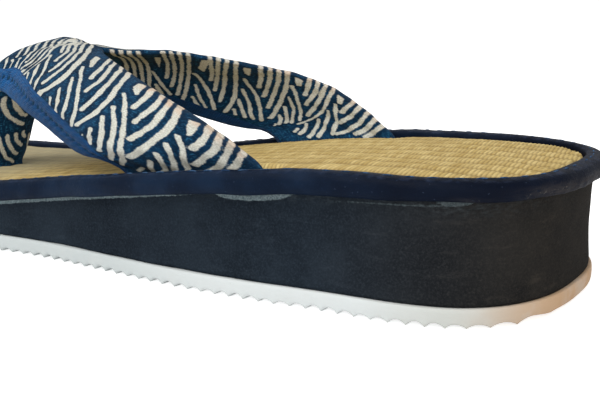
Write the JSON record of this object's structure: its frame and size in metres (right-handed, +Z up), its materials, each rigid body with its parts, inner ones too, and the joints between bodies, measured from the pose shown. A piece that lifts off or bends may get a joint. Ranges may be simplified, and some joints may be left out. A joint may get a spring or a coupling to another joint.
{
  "type": "zori sandal",
  "caption": "Low wedge thong sandal with a woven rush footbed, rolled edge binding, wide patterned cloth straps joined over a toe post, foam midsole and rippled rubber outsole.",
  "frame": {"origin": "middle of the plan box, on the floor under the sole", "axes": "+Y from heel to toe, +Z up, +X to the right when looking from heel to toe"},
  "size_m": [0.09, 0.2484, 0.0534],
  "materials": {
    "outsole": "matte white rubber, slightly warm",
    "midsole": "fine-celled charcoal foam, matte",
    "insole": "woven golden rush, dry and matte",
    "edge_binding": "navy rolled tape, satin",
    "strap_upper": "indigo cotton printed with off-white arcs, padded"
  },
  "bodies": {
    "root": {"outsole": "outsole", "midsole": "midsole", "insole": "insole", "edge_binding": "edge_binding", "strap_upper": "strap_upper"}
  },
  "joints": []
}
